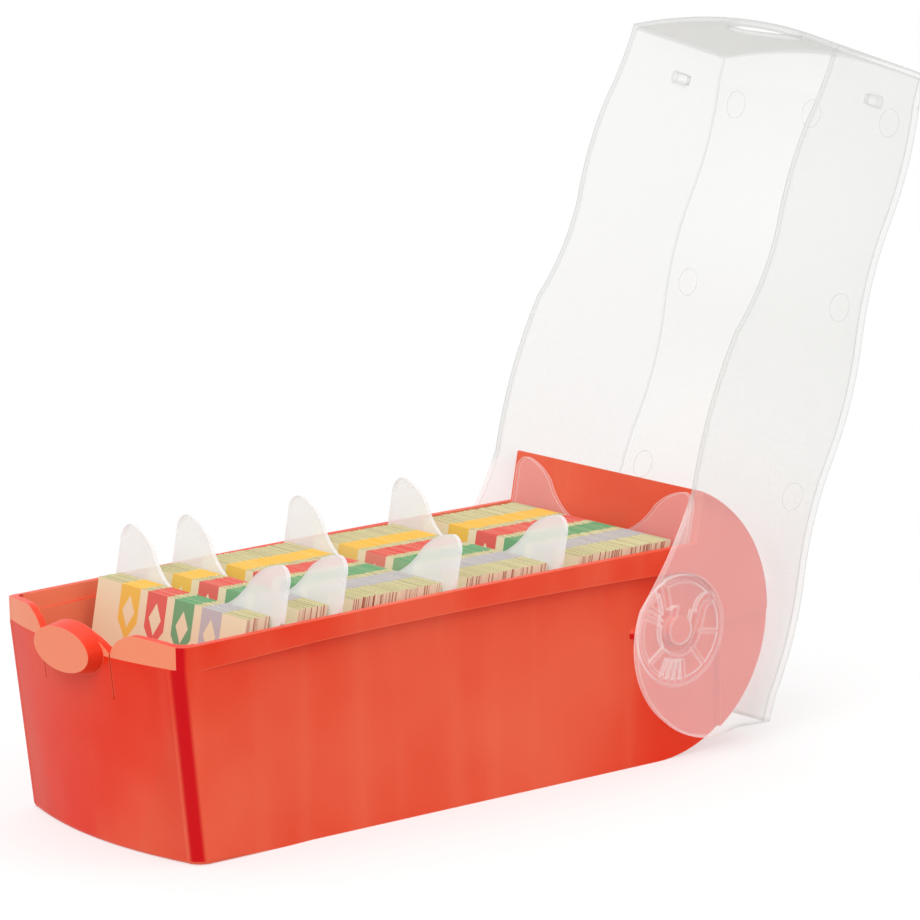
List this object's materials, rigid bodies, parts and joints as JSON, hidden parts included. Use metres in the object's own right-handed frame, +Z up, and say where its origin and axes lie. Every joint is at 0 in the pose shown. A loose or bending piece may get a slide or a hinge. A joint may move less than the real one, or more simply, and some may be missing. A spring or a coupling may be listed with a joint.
{
  "type": "index card drawer",
  "caption": "Moulded card drawer with a bowed front, round back, sprung latch, clear wavy swinging lid, loose frosted dividers and packs of index cards.",
  "frame": {"origin": "middle of the tray's front top edge line, on the surface that the tray stands on", "axes": "+X from the front with the latch to the round back, +Y to the left seen from the back, +Z up"},
  "size_m": [0.2821, 0.0946, 0.2091],
  "materials": {
    "tray_red": "moulded red polypropylene, satin gloss, slightly translucent",
    "lid_clear": "clear polypropylene, faintly frosted",
    "divider_frost": "frosted translucent polypropylene",
    "card_stock": "uncoated cream card with printed colour marks"
  },
  "bodies": {
    "tray": {"tray": "tray_red"},
    "latch": {"latch_tab": "tray_red"},
    "lid": {"lid": "lid_clear"},
    "divider_1": {"divider_1": "divider_frost"},
    "divider_2": {"divider_2": "divider_frost"},
    "divider_3": {"divider_3": "divider_frost"},
    "divider_4": {"divider_4": "divider_frost"},
    "divider_5": {"divider_5": "divider_frost"},
    "card_deck_1": {"card_deck_1": "card_stock"},
    "card_deck_2": {"card_deck_2": "card_stock"},
    "card_deck_3": {"card_deck_3": "card_stock"},
    "card_deck_4": {"card_deck_4": "card_stock"},
    "card_deck_5": {"card_deck_5": "card_stock"}
  },
  "joints": [
    {"name": "lid_hinge", "type": "hinge", "parent": "tray", "child": "lid", "pos_m": [0.174, 0, 0.0392], "axis": [0, 1, 0], "range_deg": [-109, 69]},
    {"name": "latch_flex", "type": "hinge", "parent": "tray", "child": "latch", "pos_m": [-0.0006, 0, 0.0435], "axis": [0, 1, 0], "range_deg": [0, 8], "stiffness_Nm_per_rad": 1},
    {"name": "divider_1_lift", "type": "slide", "parent": "tray", "child": "divider_1", "axis": [0.1994, 0, 0.9799], "range_m": [0, 0.08]},
    {"name": "divider_2_lift", "type": "slide", "parent": "tray", "child": "divider_2", "axis": [0.1994, 0, 0.9799], "range_m": [0, 0.08]},
    {"name": "divider_3_lift", "type": "slide", "parent": "tray", "child": "divider_3", "axis": [0.1994, 0, 0.9799], "range_m": [0, 0.08]},
    {"name": "divider_4_lift", "type": "slide", "parent": "tray", "child": "divider_4", "axis": [0.1994, 0, 0.9799], "range_m": [0, 0.08]},
    {"name": "divider_5_lift", "type": "slide", "parent": "tray", "child": "divider_5", "axis": [0.1994, 0, 0.9799], "range_m": [0, 0.08]},
    {"name": "card_deck_1_lift", "type": "slide", "parent": "tray", "child": "card_deck_1", "axis": [0.1994, 0, 0.9799], "range_m": [0, 0.07]},
    {"name": "card_deck_2_lift", "type": "slide", "parent": "tray", "child": "card_deck_2", "axis": [0.1994, 0, 0.9799], "range_m": [0, 0.07]},
    {"name": "card_deck_3_lift", "type": "slide", "parent": "tray", "child": "card_deck_3", "axis": [0.1994, 0, 0.9799], "range_m": [0, 0.07]},
    {"name": "card_deck_4_lift", "type": "slide", "parent": "tray", "child": "card_deck_4", "axis": [0.1994, 0, 0.9799], "range_m": [0, 0.07]},
    {"name": "card_deck_5_lift", "type": "slide", "parent": "tray", "child": "card_deck_5", "axis": [0.1994, 0, 0.9799], "range_m": [0, 0.07]}
  ]
}
